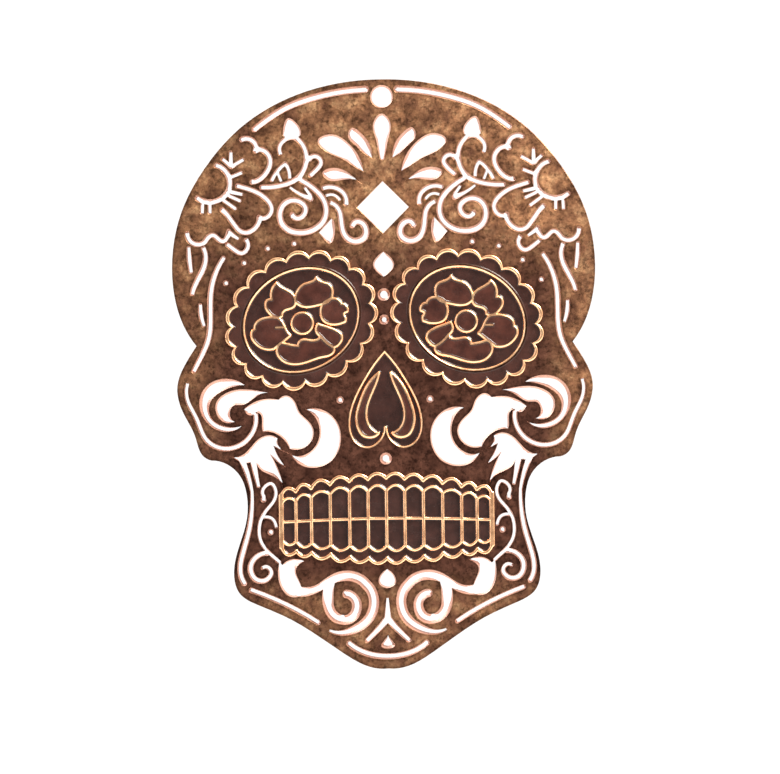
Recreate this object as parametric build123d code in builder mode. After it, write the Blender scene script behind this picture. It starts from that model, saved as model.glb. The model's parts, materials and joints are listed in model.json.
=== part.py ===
from build123d import *
import os
from math import cos, radians, sin

os.makedirs("parts", exist_ok=True)

# A pierced and enamelled skull pin, millimetres. The artwork lies in the XZ plane and faces -Y,
# the back of the plate is y = 0, and x = 0 is the plane of symmetry.
# "Height" below is the distance from the back towards the viewer, which is -Y.

# ---- driving dimensions ----
plate_t = 1.0           # metal from the back to the front face
ridge_h = 0.25          # raised lines above the front face
cell_floor = 0.65       # height of the floors of the cells that are filled up to the face
sunk_floor = 0.45       # and of the sunk cells round the petals and the nostrils
line_w = 0.34           # width of a raised line
hanging_r = 0.95        # hanging hole at the crown
hanging_z = 23.5

eye_tilt = 27.0                  # the eyes are ovals that rise towards the middle
scallop_centre = (-7.0, 4.68)   # left eye: the scalloped line
scallop_a, scallop_b = 6.0, 5.06
scallop_bulge = 0.54             # how far each lobe stands out of its oval
scallop_count = 19
scallop_start = 3.0              # turn of the first cusp, degrees
ring_centre = (-7.02, 4.68)      # and the ring inside it
ring_a, ring_b = 5.06, 4.27

sunk_top = 0.7          # enamel levels, as heights
flush_top = 0.96
mouth_top = 0.94
smallest_cell = 0.03    # enamel cells under this area are left as metal

post_x, post_z = 7.0, 4.6        # the pin posts stand behind the eyes
post_r = 0.55
post_len = 8.0
post_pad_r = 2.1
post_pad_t = 0.3
groove_depth = 0.12
groove_w = 0.3
groove_slope = 0.15     # length of each side of the groove
tip_len = 1.1           # the post's sharpened end
tip_r = 0.07
solder_r = 0.15         # small fillet of solder at the post's foot

clutch_gap = 0.8        # back of the plate to the clutch: room for cloth
base_r = 5.0
base_t = 0.4
cheek_x = 2.7           # half length of the clutch's two cheeks
cheek_z = 1.75          # inner half width between the cheeks
cheek_t = 0.35
cheek_h = 2.5
base_corner_r = 0.5     # the base's rounded lower corner
rim_h = 0.35            # the base's turned-up rim
rim_t = 0.35
cap_r = 2.9
cap_t = 0.4
cap_edge = 0.15         # bevel of the cap's edge
collar_w = 0.45         # low collar round the post's hole in the cap
collar_h = 0.35
post_hole_r = 0.62      # running fit on the post
spring_half_w = 1.2
spring_half_l = 1.35
spring_t = 0.2
spring_end_y = 1.6      # upper side of the leaf's ends, above the base
spring_slack = 0.04     # between the bowed leaf and the cap
spring_hole_gap = 0.1
jaw_gap = 0.15          # each jaw stops this far from the post's middle
jaw_clearance = 0.05
jaw_y = 0.45            # underside of the jaws, above the base
ear_half_w = 2.5
wing_half_w = 1.5
wing_t = 0.36
pivot_r = 1.9           # wing pivot, from the post's axis
pivot_y = 1.5           # and above the clutch base's upper face
knuckle_r = 0.32


# ---- drawing helpers: all return flat faces in the artwork's own x, z ----
def stroke(width, *points):
    """A line of the artwork with round ends. width is one size, or several spread along it."""
    widths = width if isinstance(width, tuple) else (width, width)
    with BuildLine() as centre:
        if len(points) == 2:
            Line(*points)
        else:
            Spline(*points)
    path = centre.edges()[0]
    left, right, tips = [], [], []
    steps = max(4, 2 * len(points) - 2)
    for step in range(steps + 1):
        t = step / steps
        place = t * (len(widths) - 1)
        low = min(int(place), len(widths) - 2)
        half = (widths[low] + (widths[low + 1] - widths[low]) * (place - low)) / 2
        here, heading = path @ t, path % t
        side = Vector(-heading.Y, heading.X) * half
        left.append(here + side)
        right.append(here - side)
        if step in (0, steps):
            tips.append(here + heading * (half if step else -half))
    with BuildSketch() as shape:
        with BuildLine():
            Spline(*left)
            ThreePointArc(left[-1], tips[1], right[-1])
            Spline(*right)
            ThreePointArc(left[0], tips[0], right[0])
        make_face()
    return shape.sketch


def outline(*spans):
    """A closed shape of smooth spans that meet at corners; a span of two points is straight."""
    with BuildSketch() as shape:
        with BuildLine():
            for span in spans:
                if len(span) == 2:
                    Line(*span)
                else:
                    Spline(*span)
        make_face()
    return shape.sketch


def dot(radius, x, z):
    with BuildSketch() as shape:
        with Locations((x, z)):
            Circle(radius)
    return shape.sketch


def both_sides(faces):
    """The faces of the left half and their mirror images."""
    return faces + [mirror(face, about=Plane.YZ) for face in faces]


# ---- skull outline, left half from the crown to the chin ----
cranium = [
    (0, 24.95), (-4, 24.6), (-8, 23.4), (-11.9, 21.05), (-15.1, 17.5),
    (-17.0, 14), (-17.85, 10), (-17.7, 6.8), (-16.95, 4.3), (-15.9, 2.6),
]
cheek = [
    (-15.9, 2.6), (-16.9, 1.0), (-17.55, -0.8), (-17.1, -3), (-16.1, -5.05),
    (-15.5, -6.65), (-14.75, -7.1),
]
jaw = [
    (-14.75, -7.1), (-13.4, -7.45), (-12.3, -8.5), (-11.8, -10), (-11.8, -12),
    (-12.4, -14.1), (-12.95, -16.5), (-12.5, -18.35), (-10.85, -19.4), (-8.4, -20.5),
    (-6.1, -21.9), (-3.65, -23.6), (-1.7, -24.65), (0, -24.85),
]


def flipped(points):
    return [(-x, z) for x, z in reversed(points)]


skull_outline = outline(cranium, cheek, jaw, flipped(jaw), flipped(cheek), flipped(cranium))


# ---- pierced openings ----
def middle_openings():
    """Openings on the centre line."""
    drop = outline(
        [(-0.18, 18.3), (-0.33, 19.0), (-0.53, 20.0), (-0.7, 21.3), (0, 22.03), (0.7, 21.3),
         (0.53, 20.0), (0.33, 19.0), (0.18, 18.3)],
        [(0.18, 18.3), (0, 18.13), (-0.18, 18.3)],
    )
    big_diamond = outline(
        [(0, 16.35), (-2.2, 14.15)], [(-2.2, 14.15), (0, 11.95)],
        [(0, 11.95), (2.2, 14.15)], [(2.2, 14.15), (0, 16.35)],
    )
    small_diamond = outline(
        [(0, 10.38), (-0.55, 9.95), (-0.88, 9.33), (-0.55, 8.7), (0, 8.28)],
        [(0, 8.28), (0.55, 8.7), (0.88, 9.33), (0.55, 9.95), (0, 10.38)],
    )
    chin_diamond = outline(
        [(0, -16.45), (-0.5, -16.85), (-0.72, -17.3), (0, -18.05)],
        [(0, -18.05), (0.72, -17.3), (0.5, -16.85), (0, -16.45)],
    )
    chin_drop = outline(
        [(0, -22.05), (-0.35, -22.5), (-0.58, -22.9), (0, -23.15), (0.58, -22.9), (0.35, -22.5),
         (0, -22.05)],
    )
    return [
        dot(hanging_r, 0, hanging_z), drop, big_diamond, small_diamond, chin_diamond, chin_drop,
        dot(0.52, 0, 6.77), dot(0.42, 0, 4.65), dot(0.5, 0, -7.1),
        stroke((0.2, 0.6), (0, -18.95), (0, -20.6)),
        stroke(0.5, (-3.27, -22.7), (-1.93, -23.5), (0, -23.82), (1.93, -23.5), (3.27, -22.7)),
    ]


def crown_openings():
    """Rim slot and the fan of drops under the crown, left half."""
    rim = stroke(
        (0.5, 0.58, 0.58), (-10.76, 20.86), (-9.5, 21.8), (-8, 22.68), (-6, 23.4), (-4, 23.86),
        (-1.35, 24.12),
    )
    inner_drop = outline(
        [(-0.87, 18.33), (-1.5, 18.72), (-2.3, 19.47), (-2.85, 20.2), (-2.57, 20.85),
         (-1.8, 20.45), (-1.2, 19.73), (-0.87, 18.33)],
    )
    middle_drop = outline(
        [(-1.6, 17.2), (-2.43, 17.67), (-3.2, 18.2), (-4.8, 18.98), (-5.42, 19.85),
         (-4.5, 20.33), (-3.1, 19.8), (-1.95, 18.4), (-1.6, 17.2)],
    )
    outer_drop = outline(
        [(-2.07, 16.4), (-3.5, 16.48), (-4.7, 16.58), (-5.05, 17.1), (-4.2, 17.5),
         (-2.85, 17.05), (-2.07, 16.4)],
    )
    return [rim, inner_drop, middle_drop, outer_drop]


def temple_flower_openings():
    """The flower at the temple, left half."""
    slots = [
        stroke(0.45, (-11.85, 20.0), (-11.25, 20.05), (-10.85, 19.8), (-10.7, 19.05)),
        stroke(0.45, (-10.7, 19.05), (-10.1, 19.1), (-9.5, 18.4), (-9.74, 17.3), (-11, 16.4)),
        stroke(0.45, (-14, 17.85), (-13.1, 17.1), (-12.95, 15.95), (-13.7, 15.0),
               (-14.6, 14.75), (-15.65, 15.1)),
        stroke((0.43, 0.43, 0.38), (-12.26, 16.1), (-11, 15.7), (-9.8, 14.92), (-9.4, 14.1),
               (-9.8, 13.42), (-10.46, 13.42)),
        stroke(0.43, (-10.46, 13.42), (-10.7, 12.65), (-11.75, 12.13), (-12.7, 13.0),
               (-13.55, 14.1)),
    ]
    fingers = [
        ((-12.85, 17.75), (-13.45, 18.35)), ((-12.8, 17.75), (-12.8, 18.9)),
        ((-12.75, 17.7), (-11.8, 18.3)), ((-12.7, 16.9), (-11.95, 17.2)),
        ((-12.9, 15.6), (-11.95, 15.4)), ((-12.95, 15.25), (-12.1, 14.85)),
        ((-13.4, 14.85), (-12.5, 14.2)), ((-15.25, 14.5), (-15.28, 13.9)),
        ((-14.63, 14.5), (-14.63, 13.9)),
    ]
    slots += [stroke(0.33, start, end) for start, end in fingers]
    slots.append(stroke(0.42, (-16.55, 12.1), (-15.8, 11.2), (-15.2, 11.3), (-14.54, 11.98),
                        (-13.75, 11.5), (-13.05, 12.25)))
    slots.append(stroke((0.42, 0.25), (-13.05, 12.2), (-12.3, 11.65)))
    slots.append(stroke(0.4, (-13.16, 11.14), (-12.6, 10.7), (-11.9, 10.42), (-11.5, 10.8),
                        (-11.57, 11.5)))
    slots += [dot(0.24, -11.78, 9.58), dot(0.24, -9.77, 10.78), dot(0.24, -13.34, 7.9)]
    slots.append(dot(0.24, -7.53, 11.17))
    return slots


def temple_line_openings():
    """The long flowing slots between the temple and the cheek, left half."""
    return [
        stroke((0.35, 0.45, 0.35), (-16.45, 10.9), (-16.4, 9.9), (-16.28, 8.9)),
        stroke((0.4, 0.5, 0.4), (-15.2, 10.84), (-15.08, 9.6), (-15.62, 8.38), (-16.19, 7.05)),
        stroke((0.4, 0.5, 0.5, 0.4), (-13.52, 10.0), (-14.18, 8.8), (-14.63, 7.1),
               (-14.69, 5.0), (-14.9, 3.1), (-15.5, 1.7), (-16.13, 0.52)),
        stroke((0.35, 0.42, 0.3), (-15.53, 6.04), (-15.48, 5.2), (-15.26, 4.36)),
    ]


def brow_openings():
    """Bud, leaves and spirals over the eye, left half."""
    bud = outline(
        [(-8.35, 20.3), (-8.3, 21.0), (-7.95, 21.73), (-7.2, 21.3), (-6.93, 20.3)],
        [(-6.93, 20.3), (-7.6, 20.0), (-8.35, 20.3)],
    )
    leaf = outline(
        [(-4.35, 13.25), (-4.07, 12.3), (-4.55, 11.15), (-5.0, 11.55), (-5.43, 12.07)],
        [(-5.43, 12.07), (-4.9, 12.7), (-4.35, 13.25)],
    )
    return [
        bud,
        leaf,
        stroke((0.35, 0.45, 0.45), (-8.6, 18.8), (-8.45, 19.75), (-7.5, 20.13), (-6.65, 19.4),
               (-6.42, 18.2), (-6.95, 16.9), (-8.3, 16.15), (-10.2, 15.95)),
        stroke(0.33, (-9.35, 16.55), (-8.85, 17.35), (-8.2, 17.95)),
        stroke(0.33, (-8.2, 17.95), (-7.9, 17.3), (-7.85, 16.75)),
        stroke(0.26, (-8.8, 17.1), (-8.6, 16.5)),
        stroke(0.42, (-6.15, 18.3), (-5.45, 18.45), (-5.2, 18.15), (-5.55, 17.4), (-6.05, 16.95)),
        stroke((0.45, 0.5, 0.55, 0.5, 0.45), (-6.85, 16.5), (-5.7, 15.7), (-4.9, 14.6),
               (-4.95, 13.2), (-5.7, 12.42), (-7.03, 12.07), (-8.3, 12.55), (-8.72, 13.6),
               (-8.25, 14.6), (-7.2, 14.77), (-6.53, 14.1), (-6.95, 13.35), (-7.65, 13.6)),
        stroke((0.2, 0.3, 0.5), (-7.8, 15.9), (-6.9, 15.3), (-6.1, 14.95)),
        stroke((0.25, 0.3), (-6.55, 15.85), (-6.1, 15.25)),
        stroke(0.42, (-4.97, 15.83), (-4.1, 15.87), (-3.25, 15.3), (-3.1, 14.5)),
        stroke(0.25, (-4.75, 15.2), (-4.15, 15.25), (-3.65, 14.85)),
        stroke((0.4, 0.5, 0.6, 0.5), (-4.37, 14.57), (-3.7, 13.95), (-3.48, 12.6),
               (-3.05, 11.6), (-2.2, 11.3), (-1.45, 11.95), (-1.9, 12.93), (-2.57, 12.65)),
    ]


def cheek_openings():
    """Crescents, scrolls and the pierced cheek, left half."""
    outer_crescent = outline(
        [(-11.85, -0.75), (-13.4, -0.2), (-14.9, -0.65), (-15.7, -2.1), (-15.2, -3.7),
         (-13.9, -4.62), (-12.15, -4.2)],
        [(-12.15, -4.2), (-13.6, -4.22), (-14.75, -3.45), (-14.8, -2.2), (-13.9, -1.3),
         (-11.85, -0.75)],
    )
    inner_crescent = outline(
        [(-9.92, -1.4), (-11.6, -1.13), (-13.4, -1.4), (-14.3, -2.3), (-14.05, -3.5),
         (-12.74, -3.85)],
        [(-12.74, -3.85), (-13.15, -3.2), (-12.85, -2.48), (-12.1, -2.42), (-11.1, -1.85),
         (-9.92, -1.4)],
    )
    pierced_cheek = outline(
        [(-11.93, -2.8), (-10.9, -2.14), (-9.0, -2.03)],
        [(-9.0, -2.03), (-8.2, -1.72), (-7.62, -2.25), (-7.3, -3.05), (-6.5, -3.88),
         (-6.07, -4.8), (-6.45, -5.75), (-7.3, -6.23), (-8.1, -6.17)],
        [(-8.1, -6.17), (-8.72, -5.25), (-9.4, -4.82), (-10.34, -4.68)],
        [(-10.34, -4.68), (-10.42, -3.9), (-10.5, -3.3), (-10.95, -3.05)],
        [(-10.95, -3.05), (-11.3, -3.3), (-11.93, -2.8)],
    )
    front_crescent = outline(
        [(-6.63, -2.87), (-5.37, -2.9), (-4.15, -3.9), (-3.8, -5.6), (-4.7, -7.3),
         (-6.3, -7.8), (-7.93, -6.73)],
        [(-7.93, -6.73), (-6.7, -6.65), (-5.72, -5.6), (-5.65, -4.1), (-6.63, -2.87)],
    )
    cheek_edge = stroke(
        (0.3, 0.4, 0.42, 0.42), (-16.7, -0.62), (-16.7, -2.0), (-15.98, -3.5), (-15.1, -5.4),
        (-13.7, -6.1), (-12.1, -5.7), (-11.2, -4.7), (-10.95, -3.3),
    )
    return [outer_crescent, inner_crescent, pierced_cheek, front_crescent, cheek_edge,
            dot(0.3, -3.8, -2.1)]


def hand_openings():
    """The feathered opening below the cheek, left half: one palm and its fingers."""
    palm = outline(
        [(-12.85, -6.85), (-11.6, -6.25), (-10.75, -5.35), (-10.1, -5.05), (-9.15, -5.27)],
        [(-9.15, -5.27), (-9.05, -5.95), (-8.6, -6.35)],
        [(-8.6, -6.35), (-9.15, -6.1), (-9.5, -5.9)],
        [(-9.5, -5.9), (-9.1, -6.8), (-8.6, -7.6)],
        [(-8.6, -7.6), (-9.3, -7.15), (-9.8, -6.6)],
        [(-9.8, -6.6), (-9.15, -7.8), (-8.7, -9.45)],
        [(-8.7, -9.45), (-9.45, -8.5), (-10.2, -8.15), (-11.0, -7.0)],
        [(-11.0, -7.0), (-11.4, -7.25), (-12.85, -6.85)],
    )
    return [
        palm,
        stroke((0.5, 0.45, 0.3), (-11.25, -6.95), (-11.05, -8.1), (-10.8, -9.3)),
        stroke((0.5, 0.42, 0.28), (-12.2, -7.0), (-11.7, -8.3), (-11.35, -9.8)),
    ]


def jaw_openings():
    """Slots and scrolls down the side of the mouth, left half."""
    return [
        stroke((0.28, 0.45, 0.48, 0.45), (-11.35, -9.8), (-11.4, -11.5), (-11.7, -13.3),
               (-12.25, -15.2), (-12.43, -16.4), (-12.08, -17.5)),
        stroke(0.3, (-10.35, -10.2), (-10.2, -9.3), (-9.75, -9.1), (-9.35, -9.7),
               (-9.6, -10.7), (-10.35, -11.6), (-10.78, -12.8), (-10.6, -14.1),
               (-9.8, -15.1), (-9.1, -15.75)),
        dot(0.24, -10.38, -10.45),
        stroke(0.28, (-10.4, -11.95), (-9.8, -12.0), (-9.35, -12.75)),
        dot(0.27, -9.8, -13.2),
        stroke((0.4, 0.5, 0.45, 0.35), (-10.1, -15.0), (-11.0, -15.25), (-11.55, -16.2),
               (-11.0, -17.25), (-10.1, -17.15), (-9.8, -16.5), (-10.5, -16.2)),
        stroke(0.43, (-11.5, -18.08), (-9.6, -18.85), (-7.5, -19.9), (-5.9, -20.88)),
    ]


def chin_openings():
    """The two-armed scroll beside the chin, left half."""
    bowl = outline(
        [(-9.1, -15.75), (-9.22, -16.9), (-8.85, -18.1), (-8.3, -18.62), (-7.5, -18.65)],
        [(-7.5, -18.65), (-7.3, -17.8), (-7.7, -16.8), (-7.0, -15.7)],
        [(-7.0, -15.7), (-7.7, -15.5), (-8.3, -15.6), (-8.85, -16.0)],
        [(-8.85, -16.0), (-9.1, -15.75)],
    )
    return [
        bowl,
        stroke((0.9, 0.6, 0.85, 0.85), (-7.9, -18.05), (-7, -18.28), (-5.9, -18.0),
               (-4.3, -17.1), (-3.0, -17.0), (-1.8, -17.7)),
        stroke((0.85, 0.85, 0.75, 0.2), (-1.8, -17.7), (-1.15, -19.1), (-1.5, -20.45),
               (-2.8, -21.5), (-4.0, -21.8), (-4.9, -21.6)),
        stroke((0.8, 0.95, 0.85, 0.8), (-4.85, -17.5), (-5.05, -18.8), (-4.75, -20.1),
               (-3.8, -20.68)),
        stroke((0.8, 0.85, 0.8, 0.7), (-3.8, -20.68), (-2.85, -20.3), (-2.6, -19.4),
               (-3.45, -18.5)),
        stroke((0.55, 0.4), (0, -20.6), (-0.7, -21.4), (-1.75, -22.45)),
    ]


openings = middle_openings() + both_sides(
    crown_openings() + temple_flower_openings() + temple_line_openings() + brow_openings()
    + cheek_openings() + hand_openings() + jaw_openings() + chin_openings()
)


# ---- left eye: scalloped oval, ring and flower ----
def on_oval(growth, turn):
    """A point of the scalloped line's oval, grown outwards, at a turn in degrees."""
    along = (scallop_a + growth) * cos(radians(turn))
    across = (scallop_b + growth) * sin(radians(turn))
    tilt = radians(eye_tilt)
    x = scallop_centre[0] + along * cos(tilt) - across * sin(tilt)
    z = scallop_centre[1] + along * sin(tilt) + across * cos(tilt)
    return (x, z)


def scallop(shift):
    """The scalloped oval, grown by shift."""
    step = 360 / scallop_count
    with BuildSketch() as shape:
        with BuildLine():
            for cusp in range(scallop_count):
                turn = scallop_start + cusp * step
                ThreePointArc(
                    on_oval(shift, turn),
                    on_oval(shift + scallop_bulge, turn + step / 2),
                    on_oval(shift, turn + step),
                )
        make_face()
    return shape.sketch


def eye_ring(shift):
    with BuildSketch() as shape:
        with Locations(ring_centre):
            Ellipse(ring_a + shift, ring_b + shift, rotation=eye_tilt)
    return shape.sketch


# The six petals: each is a list of smooth spans that meet at corners.
petal_spans = [
    [  # top
        [(-7.5, 6.3), (-7.3, 7.15), (-6.75, 7.7), (-6.0, 7.95), (-5.7, 8.28)],
        [(-5.7, 8.28), (-5.2, 7.88), (-4.55, 7.6), (-4.35, 7.05), (-5.15, 6.05)],
        [(-5.15, 6.05), (-6.0, 5.85), (-6.9, 5.85), (-7.5, 6.3)],
    ],
    [  # right
        [(-5.15, 6.05), (-4.54, 6.43), (-4.05, 6.45), (-3.6, 6.0)],
        [(-3.6, 6.0), (-3.15, 5.75), (-3.1, 5.4), (-3.4, 5.2), (-3.25, 4.75), (-3.45, 4.45)],
        [(-3.45, 4.45), (-4.3, 4.3), (-5.1, 4.6), (-5.35, 5.3), (-5.15, 6.05)],
    ],
    [  # lower right
        [(-5.6, 4.35), (-4.9, 4.1), (-4.05, 3.75), (-3.6, 3.3), (-3.75, 2.75), (-4.3, 2.35)],
        [(-4.3, 2.35), (-4.9, 2.75), (-5.4, 3.3)],
        [(-5.4, 3.3), (-5.75, 3.75), (-5.6, 4.35)],
    ],
    [  # bottom
        [(-8.7, 2.8), (-8.0, 2.6), (-7.3, 2.5)],
        [(-7.3, 2.5), (-7.0, 3.0), (-6.2, 2.95), (-5.4, 3.3)],
        [(-5.4, 3.3), (-4.9, 2.75), (-4.3, 2.35)],
        [(-4.3, 2.35), (-4.45, 1.8), (-5.3, 1.55), (-6.4, 1.2), (-7.5, 0.97), (-8.7, 1.35),
         (-9.1, 2.1), (-8.7, 2.8)],
    ],
    [  # left
        [(-9.0, 4.9), (-10.1, 4.88), (-10.8, 4.5), (-10.95, 3.95)],
        [(-10.95, 3.95), (-11.25, 3.5), (-11.0, 2.9), (-10.3, 2.35), (-9.35, 2.3)],
        [(-9.35, 2.3), (-8.7, 2.8), (-7.95, 3.4)],
        [(-7.95, 3.4), (-8.3, 3.85), (-8.55, 4.4), (-9.0, 4.9)],
    ],
    [  # upper left
        [(-7.5, 6.3), (-7.85, 7.0), (-8.55, 7.4), (-9.05, 7.85)],
        [(-9.05, 7.85), (-9.4, 7.4), (-9.5, 6.45)],
        [(-9.5, 6.45), (-10.0, 6.2), (-9.9, 5.6), (-8.65, 5.05)],
        [(-8.65, 5.05), (-8.35, 5.55), (-7.75, 5.75), (-7.5, 6.3)],
    ],
]
petals = [outline(*spans) for spans in petal_spans]
flower_button = dot(0.9, -6.93, 4.42)

# Ridges stand above the plate's face; walls between the cells stop level with it.
eye_ridges = [scallop(line_w / 2) - scallop(-line_w / 2)]
eye_walls = [
    eye_ring(line_w / 2) - eye_ring(-line_w / 2),
    dot(1.02, -6.93, 4.42) - dot(0.76, -6.93, 4.42),
    stroke(0.26, (-9.15, 4.08), (-8.4, 4.1)),
]
for spans in petal_spans:
    for span in spans:
        eye_walls.append(stroke(0.28, *span))

# ---- nose, left half ----
nose_side = [
    (0, 2.0), (-0.9, 0.95), (-1.83, -0.48), (-2.77, -2.35), (-3.13, -4.0), (-2.7, -5.6),
    (-1.6, -6.22), (-0.5, -5.7), (0, -4.5),
]
nostril_outer = [
    (-0.5, 0.15), (-1.45, -0.85), (-2.15, -2.4), (-2.42, -4.0), (-1.85, -5.15), (-0.6, -4.95),
]
nostril_inner = [(-0.6, -4.95), (-1.4, -4.3), (-1.6, -3.0), (-1.1, -1.5), (-0.5, 0.15)]
nose_area = outline(nose_side, flipped(nose_side))
nostril = outline(nostril_outer, nostril_inner)
nose_walls = [
    stroke(0.36, *nose_side),
    stroke(0.3, *nostril_outer),
    stroke(0.26, *nostril_inner),
]

# ---- mouth, left half: dividers between teeth, then arch and gum heights by tooth ----
divider_x = [0, -1.55, -3.12, -4.75, -6.35, -7.65, -8.9]
bite_z = [-12.15, -12.15, -12.18, -12.22, -12.27, -12.32, -12.37]
upper_spring = [-9.85, -9.9, -9.95, -10.1, -10.35, -10.6, -10.9]
upper_arch = [-9.35, -9.4, -9.5, -9.8, -10.05, -10.35]
lower_spring = [-14.4, -14.4, -14.4, -14.3, -14.15, -14.0, -13.8]
lower_arch = [-14.9, -14.87, -14.82, -14.65, -14.5, -14.3]
upper_gum = [-8.75, -8.85, -9.0, -9.25, -9.55, -9.8, -10.15]
upper_lobe = [-8.35, -8.45, -8.6, -8.85, -9.2, -9.5]
lower_gum = [-15.5, -15.45, -15.35, -15.1, -14.95, -14.8, -14.45]
lower_lobe = [-15.95, -15.85, -15.75, -15.5, -15.3, -15.15]
teeth = range(len(divider_x) - 1)


def lobe(edge_z, crest_z, tooth):
    """The arc over one tooth, from its divider to the next."""
    left, right = divider_x[tooth + 1], divider_x[tooth]
    return [(right, edge_z[tooth]), ((left + right) / 2, crest_z[tooth]), (left, edge_z[tooth + 1])]


def mouth_area(edge_z, crest_z):
    """From the bite line to a row of lobes, left half."""
    spans = [lobe(edge_z, crest_z, tooth) for tooth in teeth]
    spans.append([(divider_x[-1], edge_z[-1]), (divider_x[-1], bite_z[-1])])
    spans.append(list(zip(divider_x, bite_z)))
    spans.append([(0, bite_z[0]), (0, edge_z[0])])
    return outline(*spans)


mouth_ridges = [stroke(0.25, *zip(divider_x, bite_z))]
for edge_z, crest_z, width in (
    (upper_spring, upper_arch, 0.24), (lower_spring, lower_arch, 0.24),
    (upper_gum, upper_lobe, 0.3), (lower_gum, lower_lobe, 0.3),
):
    mouth_ridges += [stroke(width, *lobe(edge_z, crest_z, tooth)) for tooth in teeth]
for divider, x in enumerate(divider_x):
    frame = divider == len(divider_x) - 1
    top = upper_gum[divider] if frame else upper_spring[divider]
    bottom = lower_gum[divider] if frame else lower_spring[divider]
    mouth_ridges.append(stroke(0.45 if frame else 0.3, (x, top), (x, bottom)))

ridges = both_sides(eye_ridges + mouth_ridges)
walls = both_sides(eye_walls + nose_walls)

# ---- skull_plate ----
with BuildPart() as skull_plate:
    with BuildSketch(Plane.XZ):
        add(skull_outline)
    extrude(amount=plate_t)
    with BuildSketch(Plane.XZ.offset(cell_floor)):
        add(nose_area)
        add(both_sides([
            scallop(0), mouth_area(upper_gum, upper_lobe), mouth_area(lower_gum, lower_lobe),
        ]))
    extrude(amount=plate_t, mode=Mode.SUBTRACT)
    with BuildSketch(Plane.XZ.offset(sunk_floor)):
        add(nose_area)
        add(both_sides([eye_ring(0)]))
        add(both_sides(petals + [flower_button, nostril]), mode=Mode.SUBTRACT)
    extrude(amount=plate_t, mode=Mode.SUBTRACT)
    with BuildSketch(Plane.XZ.offset(sunk_floor)):
        add(walls)
    extrude(amount=plate_t - sunk_floor)
    with BuildSketch(Plane.XZ.offset(cell_floor)):
        add(ridges)
    extrude(amount=plate_t + ridge_h - cell_floor)
    with BuildSketch(Plane.XZ):
        add(openings)
    extrude(amount=plate_t + ridge_h, mode=Mode.SUBTRACT)
skull_plate.part.label = "skull_plate"
export_step(skull_plate.part, "parts/skull_plate.step")


# ---- enamel: every cell is its own solid, and the cells of one colour group share a node ----
def enamel(name, areas, holes, floor, level):
    """Fill the areas, less the holes, from a cell floor up to a level."""
    with BuildSketch() as cells:
        add(areas)
        add(holes, mode=Mode.SUBTRACT)
    with BuildPart() as fill:
        with BuildSketch(Plane.XZ.offset(floor)):
            add([cell for cell in cells.faces() if cell.area > smallest_cell])
        extrude(amount=level - floor)
    fill.part.label = name
    export_step(fill.part, f"parts/{name}.step")


eye_metal = eye_ridges + eye_walls
eye_cells = {
    "eye_band_enamel": ([scallop(0)], [eye_ring(0)] + eye_metal, cell_floor, flush_top),
    "eye_socket_enamel": (
        [eye_ring(0)], petals + [flower_button] + eye_metal, sunk_floor, sunk_top,
    ),
    "petal_enamel": (petals, [flower_button] + eye_metal, cell_floor, flush_top),
    "flower_centre_enamel": ([flower_button], eye_metal, cell_floor, flush_top),
}
for name, (areas, holes, floor, level) in eye_cells.items():
    enamel(f"{name}_left", areas, holes, floor, level)
    mirrored_areas = both_sides(areas)[len(areas):]
    mirrored_holes = both_sides(holes)[len(holes):]
    enamel(f"{name}_right", mirrored_areas, mirrored_holes, floor, level)

nose_metal = both_sides(nose_walls)
nostrils = both_sides([nostril])
enamel("nose_enamel", [nose_area], nostrils + nose_metal, sunk_floor, sunk_top)
enamel("nostril_enamel", nostrils, nose_metal, cell_floor, flush_top)
mouth_cells = {
    "tooth_enamel_upper": (upper_spring, upper_arch),
    "tooth_enamel_lower": (lower_spring, lower_arch),
}
gum_cells = {
    "gum_enamel_upper": (upper_gum, upper_lobe, upper_spring, upper_arch),
    "gum_enamel_lower": (lower_gum, lower_lobe, lower_spring, lower_arch),
}
for name, (edge_z, crest_z) in mouth_cells.items():
    enamel(name, both_sides([mouth_area(edge_z, crest_z)]), both_sides(mouth_ridges),
           cell_floor, mouth_top)
for name, (edge_z, crest_z, tooth_edge, tooth_crest) in gum_cells.items():
    row = mouth_area(tooth_edge, tooth_crest)
    enamel(name, both_sides([mouth_area(edge_z, crest_z)]),
           both_sides([row] + mouth_ridges), cell_floor, mouth_top)


# ---- pin posts: soldered to the back, turned from wire, with a groove and a sharp tip ----
def lathe_plane(x):
    """A plane through a post's axis: its x is the distance from the axis, its y is +Y."""
    return Plane(origin=(x, 0, post_z), x_dir=(1, 0, 0), z_dir=(0, 0, 1))


def post_axis(x):
    return Axis((x, 0, post_z), (0, 1, 0))


def pin_post(name, x):
    tip_start = post_len - tip_len
    groove_end = tip_start - groove_slope
    groove_start = groove_end - groove_w
    with BuildPart() as post:
        with BuildSketch(lathe_plane(x)):
            with BuildLine():
                Polyline(
                    (0, 0), (post_pad_r, 0), (post_pad_r - 0.05, post_pad_t / 2),
                    (post_pad_r - 0.25, post_pad_t), (post_r + solder_r, post_pad_t),
                    (post_r, post_pad_t + solder_r), (post_r, groove_start - groove_slope),
                    (post_r - groove_depth, groove_start),
                    (post_r - groove_depth, groove_end), (post_r, tip_start),
                    (tip_r, post_len), (0, post_len), (0, 0),
                )
            make_face()
        revolve(axis=post_axis(x))
    post.part.label = name
    export_step(post.part, f"parts/{name}.step")


pin_post("post_left", -post_x)
pin_post("post_right", post_x)


# ---- butterfly clutches: a dished base with two cheeks, a cap, a leaf spring and two wings ----
base_top = clutch_gap + base_t


def clutch_floor(x):
    """The upper face of a clutch's base, seen along the post."""
    return Plane((x, base_top, post_z), x_dir=(1, 0, 0), z_dir=(0, 1, 0))


def clutch_side(x):
    """A plane across a clutch: its x is the distance from the post, its y the height over the base."""
    return Plane((x, base_top, post_z), x_dir=(1, 0, 0), z_dir=(0, 0, 1))


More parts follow.
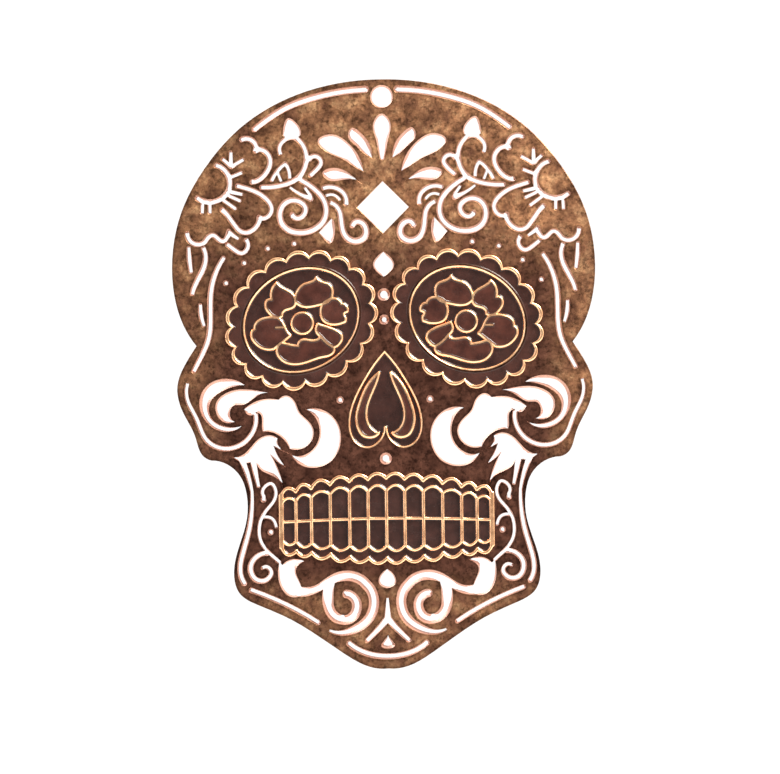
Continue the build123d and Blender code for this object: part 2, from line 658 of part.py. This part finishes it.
def clutch_base(name, x):
    with BuildPart() as base:
        with BuildSketch(lathe_plane(x)):
            with BuildLine():
                flat_r = base_r - base_corner_r
                Line((post_hole_r, clutch_gap), (flat_r, clutch_gap))
                JernArc((flat_r, clutch_gap), (1, 0), base_corner_r, 90)
                Line((base_r, clutch_gap + base_corner_r), (base_r, base_top + rim_h))
                Line((base_r, base_top + rim_h), (base_r - rim_t, base_top + rim_h))
                Line((base_r - rim_t, base_top + rim_h), (base_r - rim_t, base_top))
                Line((base_r - rim_t, base_top), (post_hole_r, base_top))
                Line((post_hole_r, base_top), (post_hole_r, clutch_gap))
            make_face()
        revolve(axis=post_axis(x))
        with BuildSketch(clutch_floor(x)):
            with Locations((0, cheek_z + cheek_t / 2), (0, -cheek_z - cheek_t / 2)):
                Rectangle(2 * cheek_x, cheek_t)
        extrude(amount=cheek_h)
    base.part.label = name
    export_step(base.part, f"parts/{name}.step")


def clutch_cap(name, x):
    cap_low = base_top + cheek_h
    cap_top = cap_low + cap_t
    collar_r = post_hole_r + collar_w
    with BuildPart() as cap:
        with BuildSketch(lathe_plane(x)):
            with BuildLine():
                Polyline(
                    (post_hole_r, cap_low), (cap_r, cap_low), (cap_r, cap_top - cap_edge),
                    (cap_r - cap_edge, cap_top), (collar_r + collar_w, cap_top),
                    (collar_r, cap_top + collar_h), (post_hole_r, cap_top + collar_h),
                    (post_hole_r, cap_low),
                )
            make_face()
        revolve(axis=post_axis(x))
    cap.part.label = name
    export_step(cap.part, f"parts/{name}.step")


def clutch_spring(name, x):
    """A bowed leaf over the jaws, with a hole for the post."""
    with BuildPart() as spring:
        with BuildSketch(clutch_side(x)):
            with BuildLine():
                crest = cheek_h - spring_slack
                upper = ThreePointArc(
                    (-spring_half_l, spring_end_y), (0, crest), (spring_half_l, spring_end_y),
                )
                lower = ThreePointArc(
                    (-spring_half_l, spring_end_y - spring_t), (0, crest - spring_t),
                    (spring_half_l, spring_end_y - spring_t),
                )
                Line(upper @ 0, lower @ 0)
                Line(upper @ 1, lower @ 1)
            make_face()
        extrude(amount=spring_half_w, both=True)
        with BuildSketch(clutch_floor(x)):
            Circle(post_hole_r + spring_hole_gap)
        extrude(amount=cheek_h, mode=Mode.SUBTRACT)
    spring.part.label = name
    export_step(spring.part, f"parts/{name}.step")


def clutch_wing(name, x, way):
    """A jaw at the post, a knuckle to turn on, and an ear to squeeze. way is +1 or -1 along X."""
    with BuildPart() as wing:
        with BuildSketch(clutch_side(x)):
            with Locations((way * pivot_r, pivot_y)):
                Circle(knuckle_r)
            add(stroke(
                wing_t, (way * pivot_r, pivot_y), (way * 3.3, 1.95), (way * 4.6, 3.1),
                (way * 5.15, 4.6), (way * 5.0, 5.6),
            ))
            with BuildLine():
                Polyline(
                    (way * jaw_gap, jaw_y), (way * 1.25, jaw_y), (way * (pivot_r + 0.25), pivot_y),
                    (way * (pivot_r - 0.25), pivot_y + 0.1), (way * 1.05, jaw_y + wing_t),
                    (way * jaw_gap, jaw_y + wing_t), (way * jaw_gap, jaw_y),
                )
            make_face()
        extrude(amount=ear_half_w, both=True)
        with BuildSketch(clutch_floor(x)):
            with BuildLine():
                neck = way * (cheek_x + 0.25)
                Line((0, wing_half_w), (neck, wing_half_w))
                edge = Spline(
                    (neck, wing_half_w), (way * 3.5, ear_half_w - 0.15),
                    (way * 4.5, ear_half_w), (way * 5.25, ear_half_w - 0.6), (way * 5.5, 0),
                )
                mirror(edge, about=Plane.XZ)
                Line((0, -wing_half_w), (neck, -wing_half_w))
                Line((0, -wing_half_w), (0, wing_half_w))
            make_face()
        extrude(amount=post_len, mode=Mode.INTERSECT)
        with BuildSketch(clutch_floor(x)):
            Circle(post_r + jaw_clearance)
        extrude(amount=cheek_h, mode=Mode.SUBTRACT)
    wing.part.label = name
    export_step(wing.part, f"parts/{name}.step")


for side, x in (("left", -post_x), ("right", post_x)):
    clutch_base(f"clutch_base_{side}", x)
    clutch_cap(f"clutch_cap_{side}", x)
    clutch_spring(f"clutch_spring_{side}", x)
    clutch_wing(f"clutch_wing_{side}_a", x, -1)
    clutch_wing(f"clutch_wing_{side}_b", x, 1)
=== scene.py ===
import json
import math

import bmesh
import bpy
from mathutils import Matrix, Vector
from mathutils.bvhtree import BVHTree
from mathutils.geometry import delaunay_2d_cdt


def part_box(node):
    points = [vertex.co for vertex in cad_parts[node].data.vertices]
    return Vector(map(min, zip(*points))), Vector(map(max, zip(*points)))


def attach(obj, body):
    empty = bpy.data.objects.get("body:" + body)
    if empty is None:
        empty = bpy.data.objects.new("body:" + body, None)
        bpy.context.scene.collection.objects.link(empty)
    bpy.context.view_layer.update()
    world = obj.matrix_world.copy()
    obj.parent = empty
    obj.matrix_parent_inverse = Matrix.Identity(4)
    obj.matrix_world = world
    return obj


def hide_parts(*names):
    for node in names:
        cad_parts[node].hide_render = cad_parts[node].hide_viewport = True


MM = 0.001

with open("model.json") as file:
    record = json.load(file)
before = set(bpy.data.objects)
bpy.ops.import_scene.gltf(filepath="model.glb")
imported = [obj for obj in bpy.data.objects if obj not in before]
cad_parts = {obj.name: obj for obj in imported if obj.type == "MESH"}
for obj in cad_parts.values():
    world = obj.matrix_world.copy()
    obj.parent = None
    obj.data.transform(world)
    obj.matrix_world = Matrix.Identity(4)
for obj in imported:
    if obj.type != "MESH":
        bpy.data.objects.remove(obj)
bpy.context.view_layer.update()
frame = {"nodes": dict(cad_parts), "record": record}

# ---- levels of the plate, read from the frame ----
plate_low, plate_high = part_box("skull_plate")
BACK_Y = plate_high.y
RIDGE_Y = plate_low.y               # tops of the raised lines
FACE_Y = RIDGE_Y + 0.25 * MM        # the plate's front face
CELL_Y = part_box("nostril_enamel")[1].y  # floors of the cells, and of the sunk cells
SUNK_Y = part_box("nose_enamel")[1].y
SUNK_NODES = ("eye_socket_enamel_left", "eye_socket_enamel_right", "nose_enamel")
LEVELS = (RIDGE_Y, FACE_Y, CELL_Y, SUNK_Y, BACK_Y)

RIDGE_ROUND = 0.11 * MM             # rounding of the raised lines' tops
RIM_ROUND = 0.05 * MM               # rounding along pierced edges, front
SLOPE = 0.18 * MM                   # the sunk cells' walls slope in over this width
DRAFT = 0.26 * MM                   # narrow openings close in this much on each side to the back
WIDE_DRAFT = 0.12 * MM              # and wide ones this much
NARROW, ROOMY = 0.9 * MM, 1.3 * MM  # widths of narrow and of wide openings
DRAFT_SHARE = 0.38                  # never more than this share of the width
DRAFT_STEP = 0.06 * MM              # and changing this much at most from point to point
DRAFT_PASSES = 4                    # within this many points of a corner
TIGHT = 0.1 * MM                    # openings this narrow have upright walls
SOFT_CORNER = 0.92                  # cosine; corners sharper than this stay upright
BACK_ROUND = 0.04 * MM
EASE = 0.05 * MM                    # eased edges of the posts and clutches
SHARP = math.radians(32)
EDGE_SHADE = 0.35 * MM              # the colour is darkened this near an edge, by an occlusion test
MENISCUS_W = 0.06 * MM              # enamel climbs the metal lines over this width
MENISCUS_DIP = 0.03 * MM

BODY, POLISH, WALL = 0, 1, 2        # material indices on the plate
BACKWARDS = Vector((0, 1, 0))
NUDGE = 0.02 * MM                   # a small step off a wall
CLEAR = 1.4 * RIM_ROUND             # a step that clears the rounding of a rim
SAME_POINT = 0.0002 * MM            # tolerances: points, levels, and the facets of one wall
SAME_LEVEL = 0.002 * MM
NEAR_LEVEL = 0.01 * MM
SAME_FACET = math.radians(0.4)


# ---- node-tree helpers ----
def new_material(name):
    material = bpy.data.materials.new(name)
    material.use_nodes = True
    tree = material.node_tree
    return material, tree, tree.nodes["Principled BSDF"]


def add_node(tree, kind, inputs=None, **settings):
    node = tree.nodes.new(kind)
    for key, value in settings.items():
        setattr(node, key, value)
    for key, value in (inputs or {}).items():
        node.inputs[key].default_value = value
    return node


def place(tree):
    """Object coordinates, which are the row frame's own metres."""
    return add_node(tree, "ShaderNodeTexCoord").outputs["Object"]


def noise(tree, scale, detail=4.0, roughness=0.55, distortion=0.0, seed=0.0):
    shifted = add_node(tree, "ShaderNodeMapping", {"Location": (seed, seed * 0.7, -seed)})
    tree.links.new(place(tree), shifted.inputs["Vector"])
    node = add_node(
        tree, "ShaderNodeTexNoise",
        {"Scale": scale, "Detail": detail, "Roughness": roughness, "Distortion": distortion},
    )
    tree.links.new(shifted.outputs["Vector"], node.inputs["Vector"])
    return node.outputs["Fac"]


def ramp(tree, factor, *stops):
    """A colour ramp; each stop is a position and a linear colour or a grey."""
    node = tree.nodes.new("ShaderNodeValToRGB")
    elements = node.color_ramp.elements
    while len(elements) < len(stops):
        elements.new(0.5)
    for element, (position, colour) in zip(elements, stops):
        rgb = colour if isinstance(colour, tuple) else (colour,) * 3
        element.position = position
        element.color = (*rgb, 1)
    tree.links.new(factor, node.inputs["Fac"])
    return node.outputs["Color"]


def mix(tree, factor, one, other, blend="MIX"):
    node = add_node(tree, "ShaderNodeMix", data_type="RGBA", blend_type=blend)
    for socket, value in ((node.inputs[0], factor), (node.inputs[6], one), (node.inputs[7], other)):
        if isinstance(value, bpy.types.NodeSocket):
            tree.links.new(value, socket)
        else:
            socket.default_value = (*value, 1) if isinstance(value, tuple) else value
    return node.outputs[2]


def math_node(tree, operation, *values):
    node = add_node(tree, "ShaderNodeMath", operation=operation)
    for socket, value in zip(node.inputs, values):
        if isinstance(value, bpy.types.NodeSocket):
            tree.links.new(value, socket)
        else:
            socket.default_value = value
    return node.outputs[0]


def map_range(tree, value, low, high, to_low=0.0, to_high=1.0):
    node = add_node(
        tree, "ShaderNodeMapRange",
        {"From Min": low, "From Max": high, "To Min": to_low, "To Max": to_high},
        interpolation_type="SMOOTHSTEP",
    )
    tree.links.new(value, node.inputs["Value"])
    return node.outputs["Result"]


def bump(tree, shader, height, strength, distance):
    node = add_node(tree, "ShaderNodeBump", {"Strength": strength, "Distance": distance})
    tree.links.new(height, node.inputs["Height"])
    tree.links.new(node.outputs["Normal"], shader.inputs["Normal"])


# ---- materials ----
def antique_copper():
    """Mottled brown patina: paler on the brow and at the edge, near black round eyes and mouth,
    with painted light brightening it towards the right and a darkening near edges.
    """
    material, tree, shader = new_material("antique_copper_patina_and_painted_light")
    links = tree.links
    axes = add_node(tree, "ShaderNodeSeparateXYZ")
    links.new(place(tree), axes.inputs[0])
    brow = map_range(tree, axes.outputs["Z"], 7 * MM, 14 * MM)
    jaw = map_range(tree, axes.outputs["Z"], -16 * MM, -20 * MM, 0.0, 0.6)
    across = math_node(tree, "ABSOLUTE", axes.outputs["X"])
    rim = map_range(tree, across, 12.5 * MM, 17 * MM, 0.0, 0.75)
    pale = math_node(tree, "MAXIMUM", math_node(tree, "MAXIMUM", brow, rim), jaw)
    clouds = noise(tree, 420, detail=5, roughness=0.62)
    pale = math_node(tree, "MULTIPLY", pale, map_range(tree, clouds, 0.3, 0.62, 0.35, 1.0))
    dark = ramp(tree, noise(tree, 900, seed=0.3), (0.3, (0.045, 0.019, 0.014)),
                (0.7, (0.15, 0.066, 0.046)))
    light = ramp(tree, noise(tree, 750, detail=6, roughness=0.68, seed=0.8),
                 (0.36, (0.16, 0.075, 0.042)), (0.52, (0.42, 0.21, 0.11)),
                 (0.7, (0.8, 0.48, 0.26)))
    # Painted light: the patina colour is made brighter towards the right, where the key lamp
    # stands.
    painted_light_right = map_range(tree, axes.outputs["X"], -10 * MM, 10 * MM, 0.8, 1.15)
    light = mix(tree, 1.0, light, painted_light_right, "MULTIPLY")
    colour = mix(tree, pale, dark, light)
    specks = ramp(tree, noise(tree, 2600, detail=4, roughness=0.7, seed=3.1),
                  (0.36, 0.45), (0.5, 1.0))
    colour = mix(tree, 1.0, colour, specks, "MULTIPLY")
    # The colour is darkened near edges, where an inside occlusion test finds the surface thin.
    rim_shade = add_node(tree, "ShaderNodeAmbientOcclusion", {"Distance": EDGE_SHADE},
                         inside=True, only_local=True, samples=8).outputs["AO"]
    shade = map_range(tree, rim_shade, 0.45, 0.95, 0.35, 1.0)
    colour = mix(tree, 1.0, colour, ramp(tree, shade, (0.0, 0.0), (1.0, 1.0)), "MULTIPLY")
    links.new(colour, shader.inputs["Base Color"])
    shader.inputs["Metallic"].default_value = 1.0
    grain = noise(tree, 3200, detail=3, seed=1.7)
    links.new(map_range(tree, grain, 0.3, 0.7, 0.34, 0.52), shader.inputs["Roughness"])
    bump(tree, shader, noise(tree, 1500, detail=6, roughness=0.7, seed=2.2), 0.35, 0.03 * MM)
    return material


def polished_copper():
    """Raised lines and rubbed edges: bright rose gold with a few darker scuffs."""
    material, tree, shader = new_material("rubbed_copper")
    colour = ramp(tree, noise(tree, 1300, detail=5, seed=4.1), (0.3, (0.78, 0.42, 0.24)),
                  (0.5, (0.93, 0.56, 0.33)), (0.7, (1.0, 0.68, 0.42)))
    tree.links.new(colour, shader.inputs["Base Color"])
    shader.inputs["Metallic"].default_value = 1.0
    tree.links.new(
        map_range(tree, noise(tree, 2600, seed=5.2), 0.3, 0.7, 0.16, 0.3),
        shader.inputs["Roughness"],
    )
    bump(tree, shader, noise(tree, 2400, detail=4, seed=6.3), 0.2, 0.02 * MM)
    return material


def sawn_wall():
    """Inner walls of the pierced openings: pale pink copper, matt, with fine marks."""
    material, tree, shader = new_material("pierced_wall_copper")
    colour = ramp(tree, noise(tree, 1800, detail=4, seed=7.7), (0.3, (0.52, 0.28, 0.2)),
                  (0.7, (0.68, 0.4, 0.3)))
    tree.links.new(colour, shader.inputs["Base Color"])
    shader.inputs["Metallic"].default_value = 0.5
    shader.inputs["Roughness"].default_value = 0.5
    bump(tree, shader, noise(tree, 5200, detail=2, seed=8.4), 0.25, 0.01 * MM)
    return material


def enamel(name, deep, pale, seed):
    """Dark, slightly cloudy enamel with a glassy skin."""
    material, tree, shader = new_material(name)
    colour = ramp(tree, noise(tree, 800, detail=5, roughness=0.6, seed=seed), (0.35, deep),
                  (0.75, pale))
    tree.links.new(colour, shader.inputs["Base Color"])
    tree.links.new(
        map_range(tree, noise(tree, 1500, seed=seed + 3), 0.3, 0.7, 0.16, 0.3),
        shader.inputs["Roughness"],
    )
    shader.inputs["Specular IOR Level"].default_value = 0.3
    shader.inputs["Coat Weight"].default_value = 0.15
    shader.inputs["Coat Roughness"].default_value = 0.08
    bump(tree, shader, noise(tree, 450, detail=2, seed=seed + 5), 0.3, 0.05 * MM)
    return material


def plain_metal(name, dark, light, rough, stretch):
    """Stamped or drawn metal: fine marks drawn out along one axis."""
    material, tree, shader = new_material(name)
    drawn = add_node(tree, "ShaderNodeMapping", {"Scale": stretch})
    tree.links.new(place(tree), drawn.inputs["Vector"])
    marks = add_node(tree, "ShaderNodeTexNoise", {"Scale": 2500.0, "Detail": 4.0})
    tree.links.new(drawn.outputs["Vector"], marks.inputs["Vector"])
    tree.links.new(ramp(tree, marks.outputs["Fac"], (0.3, dark), (0.7, light)),
                   shader.inputs["Base Color"])
    shader.inputs["Metallic"].default_value = 1.0
    tree.links.new(map_range(tree, marks.outputs["Fac"], 0.3, 0.7, rough, rough + 0.15),
                   shader.inputs["Roughness"])
    bump(tree, shader, marks.outputs["Fac"], 0.15, 0.01 * MM)
    return material


# ---- meshes ----
def floor_below(tree, point):
    """The level met when looking back from a point: a cell's floor, or the back where open."""
    met = tree.ray_cast(point, BACKWARDS)[0]
    return met.y if met else BACK_Y


def straighten_walls(bm):
    """Slide the points half way up a sunk cell's walls down to their foot."""
    tree = BVHTree.FromBMesh(bm)
    moved = []
    for vert in bm.verts:
        if min(abs(vert.co.y - level) for level in LEVELS) > SAME_LEVEL:
            way = sum((face.normal for face in vert.link_faces), Vector()).normalized()
            if abs(floor_below(tree, vert.co + way * NUDGE) - SUNK_Y) < NEAR_LEVEL:
                moved.append(vert)
    for vert in moved:
        vert.co.y = SUNK_Y
    bmesh.ops.remove_doubles(bm, verts=moved, dist=SAME_POINT)
    edges = dict.fromkeys(edge for vert in moved if vert.is_valid for edge in vert.link_edges)
    bmesh.ops.dissolve_degenerate(bm, dist=SAME_POINT, edges=list(edges))
    bm.normal_update()


def cleaned_copy(node):
    """A bmesh of a CAD node with the two triangles of each wall facet joined again."""
    bm = bmesh.new()
    bm.from_mesh(frame["nodes"][node].data)
    bmesh.ops.remove_doubles(bm, verts=bm.verts, dist=SAME_POINT)
    bm.normal_update()
    if node == "skull_plate":
        straighten_walls(bm)
    walls = [edge for edge in bm.edges if all(abs(f.normal.y) < 0.5 for f in edge.link_faces)]
    bmesh.ops.dissolve_limit(
        bm, angle_limit=SAME_FACET, verts=[], edges=walls, delimit={"NORMAL"}
    )
    bm.normal_update()
    return bm


def flat_at(bm, level):
    """The faces that lie in the plane y = level."""
    return [
        face for face in bm.faces
        if abs(face.normal.y) > 0.9 and all(abs(v.co.y - level) < SAME_LEVEL for v in face.verts)
    ]


def sides(face):
    return [frozenset(pair) for pair in zip(face, face[1:] + face[:1])]


def metal_side(edge, level, facing):
    """Across an outline, the way to the metal that lies in its plane."""
    face = edge.link_faces[0]
    way = Vector((face.normal.x, face.normal.z))
    rises = (face.calc_center_median().y - level) * facing > 0
    return way if rises else -way


def on_metal(points, faces, outline):
    """The triangles of those regions that lie mostly on the metal side of their outlines."""
    beside = {}
    for face in faces:
        for side in sides(face):
            beside.setdefault(side, []).append(face)
    left = dict.fromkeys(tuple(face) for face in faces)
    kept = []
    while left:
        ahead, region, score = [left.popitem()[0]], [], 0
        while ahead:
            face = ahead.pop()
            region.append(face)
            centre = sum((points[place] for place in face), Vector((0, 0))) / 3
            for side in sides(face):
                if side in outline:
                    one, other = (points[place] for place in side)
                    inwards = (centre - (one + other) / 2).dot(outline[side])
                    score += math.copysign((one - other).length, inwards)
                    continue
                for found in beside[side]:
                    if tuple(found) in left:
                        del left[tuple(found)]
                        ahead.append(tuple(found))
        if score > 0:
            kept += region
    return kept


def refill(bm, level, index):
    """Fill the plane y = level afresh inside its outlines, so that no sliver is left folded."""
    old = flat_at(bm, level)
    facing = math.copysign(1, sum(face.normal.y * face.calc_area() for face in old))
    bmesh.ops.delete(bm, geom=old, context="FACES")
    rims = [edge for edge in bm.edges if len(edge.link_faces) == 1 and at_level(edge, level)]
    corners = list({vert: None for edge in rims for vert in edge.verts})
    place_of = {vert: place for place, vert in enumerate(corners)}
    points, edges, faces, point_from, edge_from, _ = delaunay_2d_cdt(
        [Vector((vert.co.x, vert.co.z)) / MM for vert in corners],
        [tuple(place_of[vert] for vert in edge.verts) for edge in rims],
        [], 0, 1e-6,
    )
    outline = {
        frozenset(edge): metal_side(rims[source[0]], level, facing)
        for edge, source in zip(edges, edge_from) if source
    }
    verts = [
        corners[source[0]] if source else bm.verts.new((point.x * MM, level, point.y * MM))
        for point, source in zip(points, point_from)
    ]
    for face in on_metal(points, [tuple(face) for face in faces], outline):
        loop = [verts[place] for place in face]
        if len(set(loop)) < 3 or bm.faces.get(loop):
            continue
        made = bm.faces.new(loop)
        made.normal_update()
        made.material_index = index
        if made.normal.y * facing < 0:
            made.normal_flip()


def keeps_smooth(edge):
    """Whether shading runs on over an edge: not over a corner, and not from a flat to a curve."""
    if len(edge.link_faces) != 2 or edge.calc_face_angle(math.pi) > SHARP:
        return False
    flats = [abs(face.normal.y) > 0.9999 for face in edge.link_faces]
    return flats[0] == flats[1]


def finished_piece(bm, name, node, materials):
    bm.normal_update()
    for edge in bm.edges:
        edge.smooth = keeps_smooth(edge)
    mesh = bpy.data.meshes.new(name)
    bm.to_mesh(mesh)
    bm.free()
    for material in materials:
        mesh.materials.append(material)
    mesh.polygons.foreach_set("use_smooth", [True] * len(mesh.polygons))
    piece = bpy.data.objects.new(name, mesh)
    bpy.context.scene.collection.objects.link(piece)
    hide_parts(node)
    return piece


def at_level(edge, y):
    return all(abs(vert.co.y - y) < NEAR_LEVEL for vert in edge.verts)


def crisp(edge):
    """An outward corner, not the foot of a wall."""
    return len(edge.link_faces) == 2 and edge.calc_face_angle_signed(0) > SHARP


def wall_foot(tree, edge):
    """How far back the wall below an edge reaches."""
    middle = (edge.verts[0].co + edge.verts[1].co) / 2
    wall = min(edge.link_faces, key=lambda face: abs(face.normal.y))
    return floor_below(tree, middle + wall.normal * NUDGE)


def round_edges(bm, level, width, segments, index, foot=None):
    """Round the outward corners in a plane, or only those whose wall ends at a given depth."""
    edges = [edge for edge in bm.edges if at_level(edge, level) and crisp(edge)]
    if foot is not None:
        tree = BVHTree.FromBMesh(bm)
        edges = [edge for edge in edges if abs(wall_foot(tree, edge) - foot) < NUDGE]
    bmesh.ops.bevel(
        bm, geom=edges, offset=width, offset_type="OFFSET", segments=segments, profile=0.5,
        affect="EDGES", clamp_overlap=False, loop_slide=False, material=index,
    )
    bm.normal_update()


def islands(faces):
    """Groups of faces that join edge to edge, always in the same order."""
    left = dict.fromkeys(faces)
    found = []
    while left:
        ahead, island = [left.popitem()[0]], []
        while ahead:
            face = ahead.pop()
            island.append(face)
            for edge in face.edges:
                for other in edge.link_faces:
                    if other in left:
                        del left[other]
                        ahead.append(other)
        found.append(island)
    return found


def draft_openings(bm):
    """Lean the openings' walls in towards the back; the outer rim stays upright and dark."""
    walls = islands(face for face in bm.faces if abs(face.normal.y) < 0.5)
    rim = max(walls, key=lambda island: max(v.co.z for face in island for v in face.verts))
    for face in rim:
        face.material_index = BODY
    tree = BVHTree.FromBMesh(bm)
    ways, leans = {}, {}
    for island in walls:
        lowest = max(vert.co.y for face in island for vert in face.verts)
        if island is rim or lowest < BACK_Y - 2 * BACK_ROUND:
            continue
        for face in island:
            for vert in face.verts:
                ways.setdefault(vert, []).append(face.normal.copy())
    for vert, normals in ways.items():
        way = sum(normals, Vector()).normalized()
        ways[vert] = way
        start = Vector((vert.co.x, (BACK_Y + FACE_Y) / 2, vert.co.z)) + way * CLEAR
        gap = tree.ray_cast(start, way, ROOMY)[3] or ROOMY
        wide = min(max((gap - NARROW) / (ROOMY - NARROW), 0), 1)
        fitting = DRAFT + (WIDE_DRAFT - DRAFT) * wide
        leans[vert] = min(fitting, max(gap - TIGHT, 0) * DRAFT_SHARE)
        if min(way.dot(normal) for normal in normals) < SOFT_CORNER:
            leans[vert] = 0
    for _ in range(DRAFT_PASSES):
        for vert in ways:
            near = [leans[other] for other in (e.other_vert(vert) for e in vert.link_edges)
                    if other in leans]
            if near:
                leans[vert] = min(leans[vert], min(near) + DRAFT_STEP)
    for vert, way in ways.items():
        depth = (vert.co.y - FACE_Y - RIM_ROUND) / (BACK_Y - FACE_Y)
        vert.co += way * leans[vert] * max(depth, 0)
    bm.normal_update()


def holds(box, point):
    return box[0].x < point.x < box[1].x and box[0].z < point.z < box[1].z


def build_plate(patina, polish, wall):
    bm = cleaned_copy("skull_plate")
    for face in bm.faces:
        top = face.calc_center_median().y
        if abs(face.normal.y) < 0.3:
            face.material_index = POLISH if top < FACE_Y else WALL
        elif top < FACE_Y - 0.1 * MM:
            face.material_index = POLISH
        else:
            face.material_index = BODY
    round_edges(bm, RIDGE_Y, RIDGE_ROUND, 3, POLISH)
    round_edges(bm, FACE_Y, SLOPE, 4, POLISH, foot=SUNK_Y)
    round_edges(bm, FACE_Y, RIM_ROUND, 2, BODY)
    round_edges(bm, BACK_Y, BACK_ROUND, 1, WALL)
    draft_openings(bm)
    refill(bm, RIDGE_Y, POLISH)
    refill(bm, FACE_Y, POLISH)
    refill(bm, BACK_Y, BODY)
    sunk_boxes = [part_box(node) for node in SUNK_NODES]
    for island in islands(flat_at(bm, FACE_Y)):
        middles = [face.calc_center_median() for face in island]
        if not any(all(holds(box, middle) for middle in middles) for box in sunk_boxes):
            for face in island:
                face.material_index = BODY
    return finished_piece(bm, "plate", "skull_plate", [patina, polish, wall])


def build_enamel(node, material):
    """A fill whose skin dips a little between the metal lines."""
    bm = cleaned_copy(node)
    level = min(vert.co.y for vert in bm.verts)
    bmesh.ops.inset_region(bm, faces=flat_at(bm, level), thickness=MENISCUS_W,
                           depth=-MENISCUS_DIP, use_even_offset=True)
    bm.normal_update()
    refill(bm, level + MENISCUS_DIP, 0)
    return finished_piece(bm, node + "_fill", node, [material])


def ease_edges(part):
    """Take the knife edge off a post's or a clutch's corners; the mesh itself stays as it is."""
    part.modifiers.new("weld", "WELD").merge_threshold = 0.001 * MM
    flats = part.modifiers.new("flats", "DECIMATE")
    flats.decimate_type = "DISSOLVE"
    flats.angle_limit = math.radians(0.5)
    bevel = part.modifiers.new("eased_edges", "BEVEL")
    bevel.width = EASE
    bevel.segments = 2
    bevel.limit_method = "ANGLE"
    bevel.angle_limit = math.radians(40)


# ---- build ----
plate = build_plate(antique_copper(), polished_copper(), sawn_wall())
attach(plate, "pin")

umber = enamel("umber_enamel", (0.024, 0.008, 0.006), (0.06, 0.022, 0.017), 0.0)
russet = enamel("russet_enamel", (0.026, 0.007, 0.005), (0.075, 0.023, 0.016), 11.0)
smoke = enamel("smoke_enamel", (0.02, 0.008, 0.007), (0.048, 0.02, 0.017), 17.0)
black_brown = enamel("black_brown_enamel", (0.018, 0.006, 0.005), (0.042, 0.016, 0.013), 23.0)
slots = {entry["node"]: entry["material_slot"] for entry in frame["record"]["subparts"]}
looks = {
    "umber_enamel": umber, "russet_enamel": russet, "smoke_enamel": smoke,
    "black_brown_enamel": black_brown,
    "post_steel": plain_metal(
        "post_steel", (0.42, 0.4, 0.38), (0.66, 0.64, 0.6), 0.22, (1, 0.1, 1)),
    "spring_steel": plain_metal(
        "spring_steel", (0.35, 0.35, 0.36), (0.6, 0.6, 0.6), 0.25, (0.2, 1, 1)),
    "clutch_brass": plain_metal(
        "clutch_brass", (0.5, 0.33, 0.13), (0.83, 0.62, 0.3), 0.2, (1, 1, 1)),
}
for node, slot_name in slots.items():
    if "enamel" in node:
        fill = build_enamel(node, looks[slot_name])
        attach(fill, "pin")
    elif node != "skull_plate":
        part = frame["nodes"][node]
        part.data.materials.clear()
        part.data.materials.append(looks[slot_name])
        ease_edges(part)

# ---- stage, light and camera ----
FLOOR_Z = plate_low.z - 250 * MM
FLOOR_R = 1.6


def make_floor():
    bpy.ops.mesh.primitive_circle_add(vertices=96, radius=FLOOR_R, fill_type="NGON")
    floor = bpy.context.object
    floor.name = "floor"
    floor.location = (0, 0, FLOOR_Z)
    material, tree, shader = new_material("pale_floor")
    shader.inputs["Base Color"].default_value = (0.8, 0.8, 0.8, 1)
    shader.inputs["Roughness"].default_value = 0.9
    shader.inputs["Emission Color"].default_value = (1, 1, 1, 1)
    shader.inputs["Emission Strength"].default_value = 0.35
    floor.data.materials.append(material)


def make_world():
    """A white backdrop; as light, the room is dim in front and bright above to the right."""
    world = bpy.data.worlds.new("studio")
    bpy.context.scene.world = world
    world.use_nodes = True
    tree = world.node_tree
    links = tree.links
    direction = add_node(tree, "ShaderNodeTexCoord").outputs["Generated"]
    axes = add_node(tree, "ShaderNodeSeparateXYZ")
    links.new(direction, axes.inputs[0])
    towards_key = add_node(tree, "ShaderNodeVectorMath", operation="DOT_PRODUCT")
    links.new(direction, towards_key.inputs[0])
    towards_key.inputs[1].default_value = Vector((0.6, 0.1, 0.8)).normalized()
    side = map_range(tree, towards_key.outputs["Value"], -0.3, 0.8)
    room = mix(tree, side, (0.25, 0.2, 0.17), (2.0, 1.8, 1.55))
    front = map_range(tree, axes.outputs["Y"], -0.95, -0.4)
    room = mix(tree, front, (0.5, 0.455, 0.41), room)
    behind = map_range(tree, axes.outputs["Y"], 0.3, 0.8)
    room = mix(tree, behind, room, (1.1, 1.1, 1.1))
    seen = add_node(tree, "ShaderNodeLightPath").outputs["Is Camera Ray"]
    links.new(mix(tree, seen, room, (1.1, 1.1, 1.1)), tree.nodes["Background"].inputs["Color"])


def make_light(name, place_m, size, power, colour=(1, 1, 1)):
    data = bpy.data.lights.new(name, "AREA")
    data.size = size
    data.energy = power
    data.color = colour
    light = bpy.data.objects.new(name, data)
    light.location = place_m
    light.rotation_mode = "QUATERNION"
    light.rotation_quaternion = (-Vector(place_m)).to_track_quat("-Z", "Y")
    bpy.context.scene.collection.objects.link(light)


def make_camera():
    data = bpy.data.cameras.new("camera")
    camera = bpy.data.objects.new("camera", data)
    distance = 0.5
    seen = 65.9 * MM                        # width of the view at the plate's face
    data.sensor_width = 36
    data.lens = data.sensor_width * distance / seen
    data.clip_start, data.clip_end = 0.01, 5
    aim = Vector((0.42 * MM, FACE_Y, -1.06 * MM))
    camera.location = aim + Vector((0, -distance, 0))
    roll = math.radians(-0.7)               # the skull leans a little to the left in the view
    camera.rotation_euler = (Matrix.Rotation(math.radians(90), 4, "X")
                             @ Matrix.Rotation(roll, 4, "Z")).to_euler()
    bpy.context.scene.collection.objects.link(camera)
    bpy.context.scene.camera = camera


make_floor()
make_world()
make_light("key", (0.42, -0.42, 0.5), 0.35, 10.0, (1.0, 0.94, 0.86))
make_light("fill", (-0.5, -0.4, 0.15), 0.4, 0.8)
make_light("back", (-0.3, 0.5, 0.35), 0.4, 3.0)
make_camera()
bpy.context.scene.view_settings.view_transform = "Standard"
